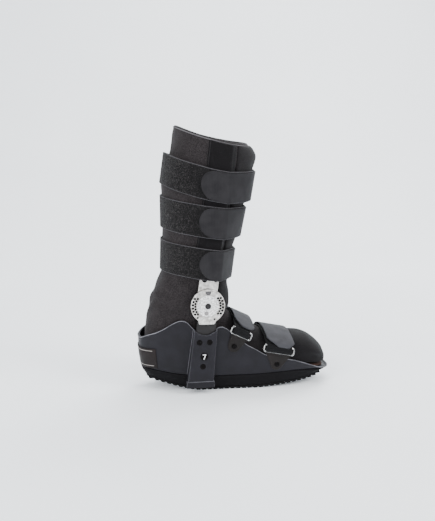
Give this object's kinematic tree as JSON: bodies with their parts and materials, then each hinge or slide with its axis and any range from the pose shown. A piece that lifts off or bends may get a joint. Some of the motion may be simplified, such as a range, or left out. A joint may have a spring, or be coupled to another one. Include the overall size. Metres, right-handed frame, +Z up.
{
  "type": "medical walking boot",
  "caption": "Tall hinged walking boot with a padded liner in a low plastic shell, side bars, leg straps, ringed foot straps and a rocker sole.",
  "frame": {"origin": "middle of the bounding box's underside, on the floor under the sole", "axes": "+X from heel to toe, -Y the outer side, +Z up"},
  "size_m": [0.319, 0.1542, 0.426],
  "materials": {
    "shell_plastic": "matte, moulded",
    "sole_rubber": "matte",
    "tread_rubber": "matte, lugged",
    "insole_foam": "matte foam",
    "liner_cloth": "matte knit over foam",
    "pocket_fabric": "matte knit",
    "loop_pile": "fluffy loop pile",
    "strap_cloth": "smooth, tightly woven",
    "foot_webbing": "matte weave",
    "label_patch": "smooth",
    "chape_leather": "matte",
    "ring_steel": "bright wire",
    "aluminium": "satin",
    "black_steel": "satin black",
    "rivet_black": "satin black"
  },
  "bodies": {
    "root": {"bar_pocket_inner": "pocket_fabric", "bar_pocket_outer": "pocket_fabric", "chape_forefoot_inner": "chape_leather", "chape_forefoot_outer": "chape_leather", "chape_instep_inner": "chape_leather", "chape_instep_outer": "chape_leather", "foot_shell": "shell_plastic", "foot_strap_forefoot": "foot_webbing", "foot_strap_instep": "foot_webbing", "foot_tab_forefoot": "strap_cloth", "foot_tab_instep": "strap_cloth", "heel_label": "label_patch", "hinge_arm_inner": "aluminium", "hinge_arm_outer": "aluminium", "hinge_disc_inner": "aluminium", "hinge_disc_outer": "aluminium", "hinge_pivot_inner": "black_steel", "hinge_pivot_outer": "black_steel", "insole": "insole_foam", "leg_band_lower": "loop_pile", "leg_band_middle": "loop_pile", "leg_band_top": "loop_pile", "leg_tab_lower": "strap_cloth", "leg_tab_middle": "strap_cloth", "leg_tab_top": "strap_cloth", "liner": "liner_cloth", "liner_front_flap": "liner_cloth", "midsole": "sole_rubber", "number_plug_inner": "rivet_black", "number_plug_outer": "rivet_black", "outsole_tread": "tread_rubber", "ring_forefoot_inner": "ring_steel", "ring_forefoot_outer": "ring_steel", "ring_instep_inner": "ring_steel", "ring_instep_outer": "ring_steel", "rivet_arm_front_inner": "rivet_black", "rivet_arm_front_outer": "rivet_black", "rivet_arm_rear_inner": "rivet_black", "rivet_arm_rear_outer": "rivet_black", "rivet_chape_forefoot_inner": "rivet_black", "rivet_chape_forefoot_outer": "rivet_black", "rivet_chape_instep_inner": "rivet_black", "rivet_chape_instep_outer": "rivet_black", "rivet_housing_front_inner": "rivet_black", "rivet_housing_front_outer": "rivet_black", "rivet_housing_low_inner": "rivet_black", "rivet_housing_low_outer": "rivet_black", "rivet_housing_rear_inner": "rivet_black", "rivet_housing_rear_outer": "rivet_black", "side_bar_inner": "black_steel", "side_bar_outer": "black_steel", "stirrup_inner": "black_steel", "stirrup_outer": "black_steel"}
  },
  "joints": []
}
